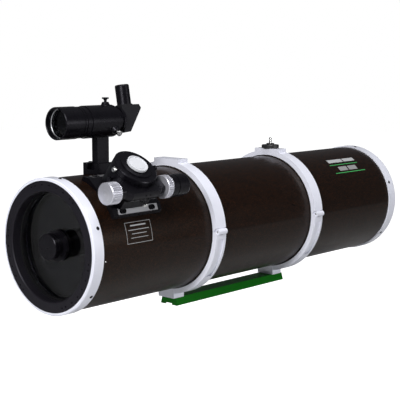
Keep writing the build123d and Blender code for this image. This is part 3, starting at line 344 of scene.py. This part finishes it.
anodised = black_metal("Satin black anodising", (0.0034, 0.0031, 0.0044), roughness=0.27,
                       grain_scale=2600.0, grain_depth=0.00002)
face_black = black_metal("Front cell black", (0.0085, 0.0076, 0.0105), roughness=0.46,
                         grain_scale=1800.0, grain_depth=0.00003)
cast_black = black_metal("Coarse cast black", (0.010, 0.010, 0.011), roughness=0.42,
                         grain_scale=900.0, grain_depth=0.00012)
flat_black = black_metal("Flat black inside", (0.003, 0.003, 0.003), roughness=0.8,
                         grain_scale=2200.0, grain_depth=0.00003)
dress(anodised, "focuser_base", "focuser_body", "two_inch_collar", "eyepiece_adapter",
      "fine_focus_knob", "finder_shoe", "finder_bracket", "finder_tube", "finder_dew_shield",
      "finder_lock_ring", "finder_eyepiece", "secondary_boss", "mirror_end_plate", "dovetail_bolts")
dress(face_black, "corrector_cell")
dress(cast_black, "finder_prism_housing")
dress(flat_black, "corrector_retaining_ring", "secondary_holder")

# %% [markdown]
# ### Bright metal
# Knobs are turned from bar, so fine rings follow the lathe's axis. Screws are plated steel, whose
# marks run no particular way. The drawtube and the mirror cell are plain machined aluminium. A
# few screws on the black parts are dyed black like their neighbours.

# %% Turned and plated metal
TOOL_MARK_DEPTH = 0.00001
LATHE_MARKS = (60.0, 3200.0, 60.0)
FINE_LATHE_MARKS = (90.0, 2400.0, 90.0)
EVEN_MARKS = (900.0, 900.0, 900.0)


def bright_metal(name, colour, roughness, lines, metallic=1.0):
    """Lines are the noise scales along x, y and z: a high one packs marks close together."""
    material, tree, shader = start_finish(name, colour, roughness, metallic)
    cut = place_group(tree, tool_lines, Stretch=lines)
    worn = place_group(tree, handling, Scale=40.0, Streak=3.0)
    mottle(tree, shader, cut.outputs["Lines"], colour, darkest=0.9, lightest=1.06)
    vary_roughness(tree, shader, worn.outputs["Smears"], roughness - 0.07, roughness + 0.13)
    raise_bumps(tree, shader, cut.outputs["Height"], TOOL_MARK_DEPTH, strength=0.5)
    return material


turned = bright_metal("Turned aluminium", (0.62, 0.62, 0.68), 0.34, LATHE_MARKS, metallic=0.75)
plated = bright_metal("Plated steel", (0.74, 0.74, 0.73), 0.24, EVEN_MARKS)
machined = bright_metal("Machined aluminium", (0.62, 0.63, 0.65), 0.34, FINE_LATHE_MARKS)
dress(turned, "coarse_focus_knobs")
dress(plated, "focus_shaft", "collar_thumbscrew_1", "tension_thumbscrew", "shoe_clamp_screw",
      "spring_plunger", "aim_screw_2", "ring_hinge_pins", "piggyback_stud", "collimation_springs",
      "collimation_knob_1", "collimation_knob_2", "collimation_knob_3", "mirror_lock_screws")
dress(machined, "drawtube", "mirror_cell")
dress(anodised, "aim_screw_1", "focuser_base_screws", "lock_thumbscrew", "collar_thumbscrew_2",
      "trim_ring_screws")

# %% [markdown]
# ### Green anodised bar
# The dovetail bar is drawn through a die, so faint lines run its whole length under a deep green
# dye. Stretching noise along the bar gives those lines without drawing any of them.

# %% Green anodising
GREEN = (0.002, 0.155, 0.003)
green, tree, shader = start_finish(
    "Green anodising", GREEN, 0.34, metallic=0.25, Specular_IOR_Level=0.25,
    Specular_Tint=(0.5, 1.0, 0.5, 1.0),
)
drawn = place_group(tree, tool_lines, Stretch=(1500.0, 4.0, 1500.0))
worn = place_group(tree, handling, Scale=18.0, Streak=5.0)
mottle(tree, shader, drawn.outputs["Lines"], GREEN, darkest=0.7, lightest=1.25)
vary_roughness(tree, shader, worn.outputs["Smears"], low=0.26, high=0.48)
raise_bumps(tree, shader, drawn.outputs["Height"], distance=0.00002, strength=0.4)
dress(green, "dovetail_bar")

# %% [markdown]
# ### Plastic, felt and rubber
# The dust cap is moulded grey-white plastic and the hand knobs are black plastic. Felt lines the
# rings so that they grip without scratching, and a rubber ring centres the finder.

# %% Soft and moulded finishes
def moulded(name, colour, roughness, grain_scale, grain_depth, sheen=0.0):
    material, tree, shader = start_finish(name, colour, roughness, Sheen_Weight=sheen)
    skin = place_group(tree, grain, Scale=grain_scale)
    patches = place_group(tree, handling, Scale=30.0, Streak=3.0)
    mottle(tree, shader, patches.outputs["Patches"], colour, darkest=0.88, lightest=1.1)
    vary_roughness(tree, shader, patches.outputs["Smears"], roughness - 0.08, roughness + 0.1)
    raise_bumps(tree, shader, skin.outputs["Height"], grain_depth, strength=0.6)
    return material


SOFT_BLACK = (0.012, 0.012, 0.012)
cap_plastic = moulded("Grey white plastic", (0.62, 0.63, 0.66), roughness=0.4,
                      grain_scale=1500.0, grain_depth=0.00003)
knob_plastic = moulded("Black plastic", (0.014, 0.014, 0.015), roughness=0.38,
                       grain_scale=1700.0, grain_depth=0.00003)
felt = moulded("Black felt", SOFT_BLACK, roughness=0.95, grain_scale=2500.0, grain_depth=0.0003,
               sheen=0.3)
rubber = moulded("Black rubber", SOFT_BLACK, roughness=0.7, grain_scale=1900.0, grain_depth=0.00003)
dress(cap_plastic, "dust_cap")
dress(knob_plastic, "front_ring_clamp_knob", "rear_ring_clamp_knob", "piggyback_nut",
      "mirror_clips")
dress(felt, "front_upper_felt", "rear_upper_felt", "lower_felt_liners")
dress(rubber, "finder_o_ring")

# %% [markdown]
# ### Glass and mirrors
# The lenses carry a coating that lets nearly all light in, so they read as dark holes with a
# faint violet glint.

# %% Coated glass
def coated_glass(name, tint):
    material, tree, shader = start_finish(
        name, tint, 0.02, IOR=1.33, Transmission_Weight=1.0, Specular_IOR_Level=0.2)
    film = place_group(tree, handling, Scale=20.0, Streak=6.0)
    mottle(tree, shader, film.outputs["Patches"], tint, darkest=0.94, lightest=1.05)
    vary_roughness(tree, shader, film.outputs["Smears"], low=0.0, high=0.06)
    return material


glass = coated_glass("Coated glass", (0.66, 0.68, 0.76))
dress(glass, "finder_objective")

# %% [markdown]
# The front lens has a ground rim, painted black so that it scatters no light. Everything farther
# from the axis than the clear part of the lens takes that paint.

# %% The front lens and its blackened rim
CLEAR_RADIUS = 0.0932
RIM_PAINT = (0.0, 0.0, 0.0)
corrector_glass = coated_glass("Coated glass with a blackened rim", (0.56, 0.58, 0.66))
tree = corrector_glass.node_tree
rim = compare_with_radius(tree, "GREATER_THAN", CLEAR_RADIUS)
paint_over(tree, tree.nodes["Principled BSDF"], rim, RIM_PAINT, roughness=1.0)
dress(corrector_glass, "corrector_lens")

# %% [markdown]
# The mirrors are silvered on the front, and dust on them softens the shine.

# %% Mirror coating
silver, tree, shader = start_finish("Mirror coating", (0.88, 0.89, 0.91), 0.03, metallic=1.0)
film = place_group(tree, handling, Scale=35.0, Streak=8.0)
vary_roughness(tree, shader, film.outputs["Smears"], low=0.01, high=0.09)
dress(silver, "primary_mirror", "secondary_mirror")

# %% [markdown]
# ## Printed graphics
# A telescope carries a data label near the focuser and stripes near the mirror end. Here
# they are plain bars and lines that say nothing. Each is a thin curved sheet that
# follows the tube a tenth of a millimetre above the lacquer, so it stays crisp from every side.

# %% Ink finishes
def ink(name, colour):
    material, tree, shader = start_finish(name, colour, 0.45)
    wear = place_group(tree, handling, Scale=90.0, Streak=4.0)
    tooth = place_group(tree, grain, Scale=3000.0)
    mottle(tree, shader, wear.outputs["Smears"], colour, darkest=0.82, lightest=1.1)
    raise_bumps(tree, shader, tooth.outputs["Height"], distance=0.00002, strength=0.3)
    return material


white_ink = ink("White ink", (0.46, 0.47, 0.48))
grey_ink = ink("Grey ink", (0.30, 0.30, 0.30))
green_ink = ink("Green ink", (0.05, 0.38, 0.10))

# %% Curved sheets for the graphics
INK_LIFT = 0.0001
STEP_DEGREES = 1.0


def finish_mesh(name, mesh_data, material, body):
    """Turns a bmesh into an object that rides with a body of the telescope."""
    mesh = bpy.data.meshes.new(name)
    mesh_data.to_mesh(mesh)
    mesh_data.free()
    piece = bpy.data.objects.new(name, mesh)
    bpy.context.scene.collection.objects.link(piece)
    mesh.materials.append(material)
    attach(piece, body)
    return piece


def printed(name, material, patches):
    """Patches are (start depth, end depth, low angle, high angle), in metres and degrees."""
    sheet = bmesh.new()
    for start, end, low, high in patches:
        steps = max(1, math.ceil((high - low) / STEP_DEGREES))
        rows = [[sheet.verts.new(on_tube(depth, low + (high - low) * i / steps, INK_LIFT))
                 for i in range(steps + 1)] for depth in (start, end)]
        for i in range(steps):
            sheet.faces.new((rows[0][i], rows[0][i + 1], rows[1][i + 1], rows[1][i]))
    finish_mesh(name, sheet, material, "optical_tube")
    print("printed:", name, "patches:", len(patches))


# %% Data label beside the focuser
LABEL_START, LABEL_END = 0.077, 0.136
LABEL_LOW, LABEL_HIGH = 4.0, 22.0
LABEL_MIDDLE = (LABEL_START + LABEL_END) / 2
BORDER = 0.0007
BORDER_DEGREES = math.degrees(BORDER / TUBE_RADIUS)
# Each bar is (angle of its middle, half its length, its height in degrees).
LABEL_BARS = [(19.0, 0.018, 1.1), (15.3, 0.024, 0.55), (12.0, 0.017, 0.5), (8.6, 0.020, 0.4)]

printed("label_border", white_ink, [
    (LABEL_START, LABEL_END, LABEL_LOW, LABEL_LOW + BORDER_DEGREES),
    (LABEL_START, LABEL_END, LABEL_HIGH - BORDER_DEGREES, LABEL_HIGH),
    (LABEL_START, LABEL_START + BORDER, LABEL_LOW, LABEL_HIGH),
    (LABEL_END - BORDER, LABEL_END, LABEL_LOW, LABEL_HIGH),
])
printed("label_bars", white_ink,
        [(LABEL_MIDDLE - half, LABEL_MIDDLE + half, centre - tall / 2, centre + tall / 2)
         for centre, half, tall in LABEL_BARS])

# %% Stripes near the mirror end
BROAD_STRIPES = [(0.718, 0.770, 54.5, 59.5), (0.774, 0.815, 54.5, 59.5)]
GREY_STRIPES = [(0.735, 0.765, 42.5, 48.0), (0.769, 0.800, 42.5, 48.0)]
GREEN_LINES = [(0.713, 0.816, 50.6, 51.5), (0.714, 0.825, 39.5, 40.4)]
printed("broad_stripes", white_ink, BROAD_STRIPES)
printed("grey_stripes", grey_ink, GREY_STRIPES)
printed("green_lines", green_ink, GREEN_LINES)

# %% [markdown]
# ## Small parts that want more detail
# The stud on the rear ring is threaded, and a plain cylinder would look wrong so near its nut.
# A thread is one profile swept up a helix.

# %% Threaded stud
stud_low, stud_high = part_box("piggyback_stud")
stud_middle = (stud_low + stud_high) / 2
STUD_RADIUS = (stud_high.x - stud_low.x) / 2
PITCH = 0.00127
THREAD_DEPTH = 0.0006
SIDES = 24
TURNS = int((stud_high.z - stud_low.z) / PITCH) - 2


def screw_thread(name, material, body):
    """One wall of crests and roots wound up a helix, closed at both ends."""
    wall = bmesh.new()
    rings = []
    for step in range(TURNS * 2 + 1):
        radius = STUD_RADIUS - (THREAD_DEPTH if step % 2 else 0)
        rings.append([wall.verts.new((stud_middle.x + x, stud_middle.y + y,
                                      stud_low.z + PITCH * (step / 2 + side / SIDES)))
                      for side, (x, y) in enumerate(circle(radius, SIDES))])
    for below, above in zip(rings, rings[1:]):
        for side in range(SIDES - 1):
            wall.faces.new((below[side], below[side + 1], above[side + 1], above[side]))
    # The last side of each ring joins the first side of the ring one whole turn higher.
    for step in range(len(rings) - 3):
        wall.faces.new((rings[step][-1], rings[step + 2][0],
                        rings[step + 3][0], rings[step + 1][-1]))
    for ring in (rings[0], rings[-1]):
        wall.faces.new(ring)
    print("thread turns:", TURNS)
    return finish_mesh(name, wall, material, body)


stud = screw_thread("threaded_stud", plated, "rear_ring_lid")
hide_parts("piggyback_stud")

# %% [markdown]
# The focuser's saddle is black, but a cutter skimmed a bright strip along the sloping land on each
# side. The strip is a thin sheet with a slot round each screw's recess. It is laid out in
# the focuser's own directions: back along the tube, across, and out from the tube's axis.

# %% Skimmed strips on the focuser's saddle
FOCUSER_ANGLE = math.radians(51.0)
FOCUSER_DEPTH = 0.102
# The two edges of the near and far lands, as (distance across, distance out).
LAND_OUTER = (0.0475, 0.11218)
LAND_INNER = (0.0365, 0.119)
STRIP_ENDS = (-0.038, 0.054)
STRIP_EDGE = 0.0008
SLOT_CENTRES = (-0.0265, 0.0405)
SLOT_LENGTH = 0.0156
SLOT_HEIGHT = 0.0092
SLOT_STEPS = 24
WELD = 1e-6


def from_focuser(back, across, out):
    """A point from distances in the focuser's directions."""
    c, s = math.cos(FOCUSER_ANGLE), math.sin(FOCUSER_ANGLE)
    return Vector((out * c - across * s, FRONT + FOCUSER_DEPTH + back,
                   AXIS_HEIGHT + out * s + across * c))


def slot_half_height(back):
    """Half the height of the round-ended slot at a place along the strip, or zero outside it."""
    nearest = min(abs(back - centre) for centre in SLOT_CENTRES)
    past_straight = max(0.0, nearest - (SLOT_LENGTH - SLOT_HEIGHT) / 2)
    return math.sqrt(max(0.0, (SLOT_HEIGHT / 2) ** 2 - past_straight ** 2))


def skimmed_strip(name, side):
    """A thin sheet on one sloping land, in columns that split above and below each slot."""
    rise = (LAND_INNER[0] - LAND_OUTER[0], LAND_INNER[1] - LAND_OUTER[1])
    width = math.hypot(*rise)
    lift = (rise[1] / width * INK_LIFT, -rise[0] / width * INK_LIFT)
    sheet = bmesh.new()

    def point(back, v):
        share = v / width
        across = LAND_OUTER[0] + rise[0] * share + lift[0]
        out = LAND_OUTER[1] + rise[1] * share + lift[1]
        return sheet.verts.new(from_focuser(back, side * across, out))

    stops = set(STRIP_ENDS)
    for centre in SLOT_CENTRES:
        stops.update(centre + SLOT_LENGTH / 2 * math.cos(math.pi * i / SLOT_STEPS)
                     for i in range(SLOT_STEPS + 1))
    stops = sorted(stops)
    for left, right in zip(stops, stops[1:]):
        gaps = (slot_half_height(left), slot_half_height(right))
        bands = [(STRIP_EDGE, STRIP_EDGE, width / 2 - gaps[0], width / 2 - gaps[1]),
                 (width / 2 + gaps[0], width / 2 + gaps[1], width - STRIP_EDGE, width - STRIP_EDGE)]
        for low_left, low_right, high_left, high_right in bands:
            sheet.faces.new((point(left, low_left), point(right, low_right),
                             point(right, high_right), point(left, high_left)))
    bmesh.ops.remove_doubles(sheet, verts=sheet.verts, dist=WELD)
    return finish_mesh(name, sheet, skimmed, "optical_tube")


CUTTER_MARKS = (3000.0, 40.0, 3000.0)
skimmed = bright_metal("Skimmed aluminium", (0.42, 0.42, 0.44), 0.42, CUTTER_MARKS)
for name, side in (("near_land_strip", -1), ("far_land_strip", 1)):
    strip = skimmed_strip(name, side)
    print("strip:", name, "faces:", len(strip.data.polygons))

# %% [markdown]
# Two small turned details: the bright ring that holds the finder's front lens, and a round-headed
# rivet low on the tube behind the front ring. Both are profiles spun round an axis.

# %% Lens ring and rivet
FINE_WELD = 1e-7


def spun(name, profile, centre, axis, material, body, sides=96):
    """Spins (radius, height) corners round an axis through a centre."""
    turn = Vector(axis).to_track_quat("Z", "Y")
    mesh = bmesh.new()
    rings = [[mesh.verts.new(centre + turn @ Vector((x, y, height)))
              for x, y in circle(radius, sides)] for radius, height in profile]
    for below, above in zip(rings, rings[1:]):
        for i in range(sides):
            mesh.faces.new((below[i], below[i - 1], above[i - 1], above[i]))
    bmesh.ops.remove_doubles(mesh, verts=mesh.verts, dist=FINE_WELD)
    bmesh.ops.recalc_face_normals(mesh, faces=mesh.faces)
    piece = finish_mesh(name, mesh, material, body)
    print("spun:", name, "faces:", len(piece.data.polygons))


glass_low, glass_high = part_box("finder_objective")
glass_middle = (glass_low + glass_high) / 2
GLASS_RADIUS = (glass_high.x - glass_low.x) / 2
# Corners of the ring's section: (distance in from the glass's edge, height behind its front).
RING_SECTION = [(0.0, 0.0015), (0.0, 0.0), (0.0004, -0.0004), (0.0011, -0.0004),
                (0.0016, 0.0002), (0.0016, 0.0012), (0.0, 0.0015)]
spun("finder_lens_ring", [(GLASS_RADIUS - inset, height) for inset, height in RING_SECTION],
     Vector((glass_middle.x, glass_low.y, glass_middle.z)), (0.0, 1.0, 0.0), machined,
     "finder_front")

RIVET_ANGLE = -7.0
RIVET_DEPTH = 0.028
RIVET_RADIUS = 0.0016
RIVET_HEIGHT = 0.0009
rivet_out = on_tube(0.0, RIVET_ANGLE) - on_tube(0.0, RIVET_ANGLE, -0.01)
rivet_dome = [(RIVET_RADIUS * math.cos(math.radians(t)), RIVET_HEIGHT * math.sin(math.radians(t)))
              for t in range(0, 91, 15)]
spun("tube_rivet", rivet_dome, on_tube(RIVET_DEPTH, RIVET_ANGLE), rivet_out, plated,
     "optical_tube", sides=20)

# %% [markdown]
# The coarse knobs carry deep straight grooves, and a cone is turned into the front one's face. A
# groove that is only painted on would show at the rim, so the rim is modelled: a drum whose
# radius dips at every groove, and whose two edges are chamfered.

# %% Grooved coarse knobs
GROOVE_DEPTH = 0.0011
GROOVE_STEPS = 8
GROOVE_ROUNDNESS = 0.7
DRUM_CHAMFER = 0.0011
GROOVE_RUN_OUT = DRUM_CHAMFER * 1.8
SHAFT_ACROSS = -0.0343
SHAFT_OUT = 0.1545
SHAFT_HOLE = 0.0042


def groove(turn_share):
    """How deep the rim dips at a share of one groove's pitch, from zero to one."""
    return max(0.0, math.cos(2 * math.pi * turn_share)) ** GROOVE_ROUNDNESS


def round_shaft(back, reach, turn):
    """A point at a distance from the focusing shaft and an angle round it."""
    return from_focuser(back, SHAFT_ACROSS + reach * math.sin(turn),
                        SHAFT_OUT + reach * math.cos(turn))


def grooved_drum(name, start, length, radius, grooves, cone=0.0):
    """A knob about the focusing shaft. Its front face has a cone, or else a hole for the shaft."""
    sides = grooves * GROOVE_STEPS
    turns = [2 * math.pi * i / sides for i in range(sides)]
    # Each station is (distance along the shaft, radius, how much of the groove's depth is cut).
    stations = [(0.0, radius - DRUM_CHAMFER, 0.0), (DRUM_CHAMFER, radius, 0.0),
                (GROOVE_RUN_OUT, radius, 1.0), (length - GROOVE_RUN_OUT, radius, 1.0),
                (length - DRUM_CHAMFER, radius, 0.0), (length, radius - DRUM_CHAMFER, 0.0)]
    drum = bmesh.new()
    rings = []
    for along_shaft, ring_radius, share in stations:
        reaches = [ring_radius - GROOVE_DEPTH * share * groove(i / GROOVE_STEPS)
                   for i in range(sides)]
        rings.append([drum.verts.new(round_shaft(start + along_shaft, reach, turn))
                      for reach, turn in zip(reaches, turns)])
    for below, above in zip(rings, rings[1:]):
        for i in range(sides):
            drum.faces.new((below[i], above[i], above[i - 1], below[i - 1]))
    for ring, back, has_hole in ((rings[0], start - cone, not cone),
                                 (rings[-1], start + length, True)):
        if has_hole:
            inner = [drum.verts.new(round_shaft(back, SHAFT_HOLE, turn)) for turn in turns]
            for i in range(sides):
                drum.faces.new((ring[i], inner[i], inner[i - 1], ring[i - 1]))
        else:
            tip = drum.verts.new(round_shaft(back, 0.0, 0.0))
            for i in range(sides):
                drum.faces.new((ring[i], tip, ring[i - 1]))
    bmesh.ops.recalc_face_normals(drum, faces=drum.faces)
    piece = finish_mesh(name, drum, turned, "focus_drive")
    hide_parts("coarse_focus_knobs")
    print("knob:", name, "grooves:", grooves)


grooved_drum("front_coarse_knob", -0.0825, length=0.022, radius=0.0184, grooves=34, cone=0.0021)
grooved_drum("rear_coarse_knob", 0.0446, length=0.0129, radius=0.0199, grooves=36)

# %% [markdown]
# ## Studio
# The telescope hangs in the air as if a mount held it by its bar, so the floor lies below the
# lowest place that the finder reaches when the tube turns in its rings. A large soft light beside
# the camera draws the long highlights, one above separates the tube from its rings, and a weak one
# reaches the mirror end. The camera sees an even white behind it all, but that white doesn't light
# the telescope: only a dim, faintly blue sky does, and what the floor reflects.

# %% Floor
FLOOR_HEIGHT = -0.14
FLOOR_HALF = 6.0
floor_sheet = bmesh.new()
corners = [(-1, -1), (1, -1), (1, 1), (-1, 1)]
floor_sheet.faces.new([floor_sheet.verts.new((x * FLOOR_HALF, y * FLOOR_HALF, FLOOR_HEIGHT))
                       for x, y in corners])
floor_mesh = bpy.data.meshes.new("floor")
floor_sheet.to_mesh(floor_mesh)
floor_sheet.free()
floor = bpy.data.objects.new("floor", floor_mesh)
bpy.context.scene.collection.objects.link(floor)
floor_paint, tree, shader = start_finish("White floor", (0.6, 0.6, 0.6), 0.9)
shader.inputs["Emission Color"].default_value = (1.0, 1.0, 1.0, 1.0)
path = add(tree, "ShaderNodeLightPath")
tree.links.new(path.outputs["Is Camera Ray"], shader.inputs["Emission Strength"])
floor_mesh.materials.append(floor_paint)

# %% Sky and lights
SKY_BLUE = (0.90, 0.93, 1.0, 1.0)
SKY_STRENGTH = 0.12
AIM = Vector((0.0, 0.0, AXIS_HEIGHT))
world = bpy.data.worlds.new("Studio")
bpy.context.scene.world = world
world.use_nodes = True
sky_tree = world.node_tree
seen = sky_tree.nodes["Background"]
seen.inputs["Color"].default_value = (1.0, 1.0, 1.0, 1.0)
room = add(sky_tree, "ShaderNodeBackground")
room.inputs["Color"].default_value = SKY_BLUE
room.inputs["Strength"].default_value = SKY_STRENGTH
path = add(sky_tree, "ShaderNodeLightPath")
choice = add(sky_tree, "ShaderNodeMixShader")
sky_tree.links.new(path.outputs["Is Camera Ray"], choice.inputs["Fac"])
sky_tree.links.new(room.outputs["Background"], choice.inputs[1])
sky_tree.links.new(seen.outputs["Background"], choice.inputs[2])
sky_tree.links.new(choice.outputs["Shader"], sky_tree.nodes["World Output"].inputs["Surface"])


def outward(azimuth, elevation):
    """A direction away from the telescope, in degrees. Azimuth 0 is at the sky end."""
    a, e = math.radians(azimuth), math.radians(elevation)
    return Vector((math.sin(a) * math.cos(e), -math.cos(a) * math.cos(e), math.sin(e)))


def soft_light(name, azimuth, elevation, distance, size, power):
    """A square light that looks at the middle of the telescope."""
    lamp = bpy.data.lights.new(name, "AREA")
    lamp.shape = "SQUARE"
    lamp.size = size
    lamp.energy = power
    light = bpy.data.objects.new(name, lamp)
    bpy.context.scene.collection.objects.link(light)
    out = outward(azimuth, elevation)
    light.location = AIM + out * distance
    light.rotation_euler = out.to_track_quat("Z", "Y").to_euler()


soft_light("key beside the camera", azimuth=22, elevation=28, distance=2.8, size=1.0, power=62)
soft_light("top", azimuth=70, elevation=78, distance=2.2, size=0.9, power=26)
soft_light("mirror end", azimuth=112, elevation=8, distance=2.8, size=0.8, power=16)

# %% [markdown]
# ## Camera
# The camera stands on the focuser's side, a little above the axis, and looks along the tube at an
# angle, with a lens long enough to keep the far end in proportion.

# %% Camera at the chosen view
VIEW_AZIMUTH = 42.09
VIEW_ELEVATION = 7.59
CAMERA_PLACE = Vector((1.333, -1.551, 0.456))
LENS = 93.15
SENSOR_WIDTH = 36.0
camera_data = bpy.data.cameras.new("camera")
camera_data.lens = LENS
camera_data.sensor_width = SENSOR_WIDTH
camera = bpy.data.objects.new("camera", camera_data)
bpy.context.scene.collection.objects.link(camera)
camera.location = CAMERA_PLACE
camera.rotation_euler = outward(VIEW_AZIMUTH, VIEW_ELEVATION).to_track_quat("Z", "Y").to_euler()
bpy.context.scene.camera = camera
bpy.context.scene.view_settings.view_transform = "Standard"
